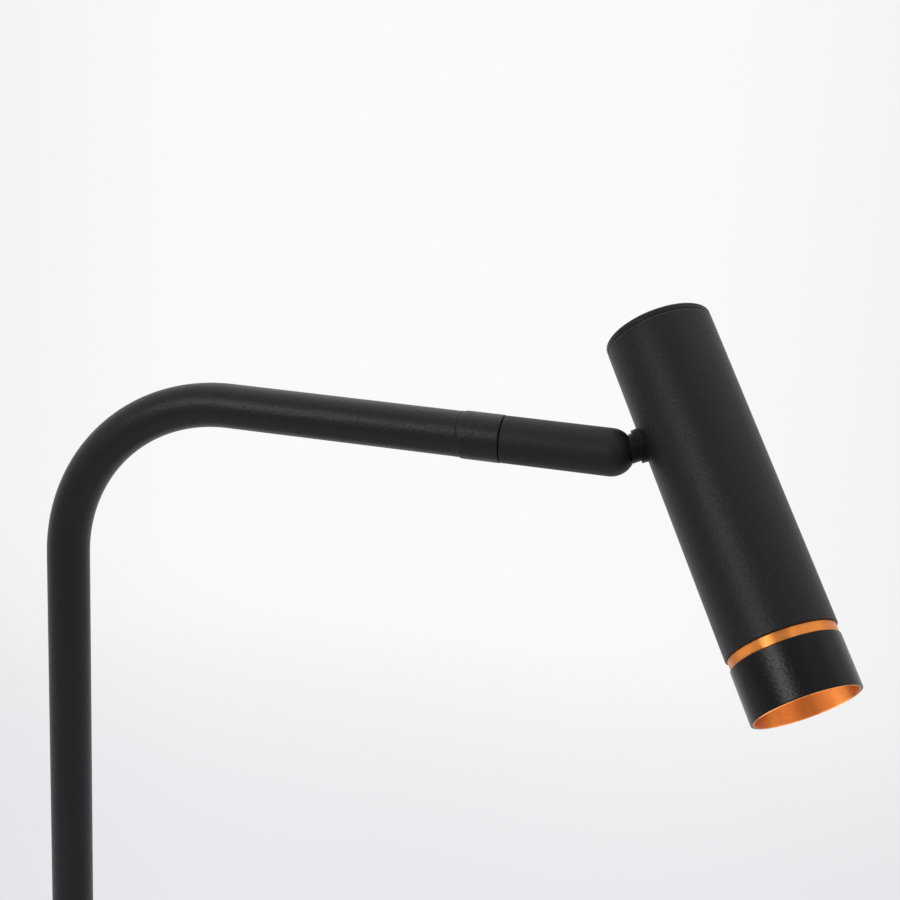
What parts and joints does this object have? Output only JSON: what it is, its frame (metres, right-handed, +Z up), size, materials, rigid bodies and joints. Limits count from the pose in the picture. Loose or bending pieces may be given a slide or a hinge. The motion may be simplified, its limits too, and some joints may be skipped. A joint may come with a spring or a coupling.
{
  "type": "piano lamp",
  "caption": "Piano lamp: weighted round foot with a push button, bent tube arm, end swivel and tilting knuckle that carry a slim cylindrical spotlight head.",
  "frame": {"origin": "middle of the foot's underside, on the surface that the lamp stands on", "axes": "+Z up, +X the way the arm reaches out from the stem, +Y away from the side that the head's front is turned to"},
  "size_m": [0.4098, 0.17, 0.4747],
  "materials": {
    "stem_coat": "black fine-textured powder coat on steel",
    "head_coat": "black fine-textured powder coat on aluminium",
    "ring_coat": "smooth satin black coat on aluminium",
    "copper_anodised": "satin copper-coloured anodised aluminium",
    "cast_weight": "as cast, painted",
    "zinc_steel": "zinc plated",
    "blackened_steel": "black oxide",
    "turned_brass": "turned",
    "soft_rubber": "matt black",
    "silicone": "translucent white silicone",
    "foam_pad": "closed-cell foam",
    "black_nylon": "moulded black nylon",
    "white_moulding": "moulded white heat-resistant plastic",
    "lead_sheath": "black sheath",
    "switch_cap": "satin black cap",
    "sink_metal": "bare extruded aluminium",
    "reflector_metal": "bright metallised",
    "lens_glass": "clear, lightly frosted",
    "board_mask": "white solder mask on a metal core",
    "emitter_gel": "yellow phosphor gel"
  },
  "bodies": {
    "foot": {"base_pad": "foam_pad", "base_plate": "stem_coat", "plate_screws": "zinc_steel", "base_cover": "stem_coat", "base_weight": "cast_weight", "flange_screws": "zinc_steel", "stem_flange": "zinc_steel", "stem_collar": "stem_coat", "collar_screw": "blackened_steel", "cord_gland": "soft_rubber", "lamp_lead": "lead_sheath", "stem_tube": "stem_coat", "switch_body": "black_nylon", "switch_terminals": "turned_brass", "switch_bezel": "ring_coat", "switch_nut": "black_nylon", "switch_spring": "zinc_steel", "arm_ferrule": "stem_coat", "swivel_bush": "turned_brass"},
    "button": {"switch_button": "switch_cap"},
    "swivel": {"swivel_washer": "blackened_steel", "swivel_spindle": "zinc_steel", "swivel_spring_washer": "zinc_steel", "swivel_nut": "zinc_steel", "stop_pin": "zinc_steel", "swivel_barrel": "stem_coat", "pivot_screw": "blackened_steel", "friction_washers": "black_nylon"},
    "head": {"knuckle_link": "blackened_steel", "neck_washer": "blackened_steel", "knuckle_saddle": "zinc_steel", "knuckle_nut": "zinc_steel", "head_tube": "head_coat", "head_cap": "head_coat", "cap_seal": "soft_rubber", "snap_ring": "zinc_steel", "heat_sink": "sink_metal", "led_board": "board_mask", "led_emitter": "emitter_gel", "led_holder": "white_moulding", "holder_screws": "zinc_steel", "reflector": "reflector_metal", "lens_gasket": "silicone", "front_lens": "lens_glass", "glare_baffle": "copper_anodised", "front_ring": "ring_coat", "head_lead": "lead_sheath"}
  },
  "joints": [
    {"name": "arm_swivel", "type": "hinge", "parent": "foot", "child": "swivel", "pos_m": [0.1585, 0, 0.41], "axis": [1, 0, 0], "range_deg": [-125.5, 194.5]},
    {"name": "head_tilt", "type": "hinge", "parent": "swivel", "child": "head", "pos_m": [0.2065, 0, 0.41], "axis": [0, 0.8241, -0.5664], "range_deg": [-51.5, 28.5]},
    {"name": "switch_press", "type": "slide", "parent": "foot", "child": "button", "axis": [0, 0, -1], "range_m": [0, 0.0015], "stiffness_N_per_m": 500, "springref_m": -0.002, "deforming": ["switch_spring"]}
  ]
}
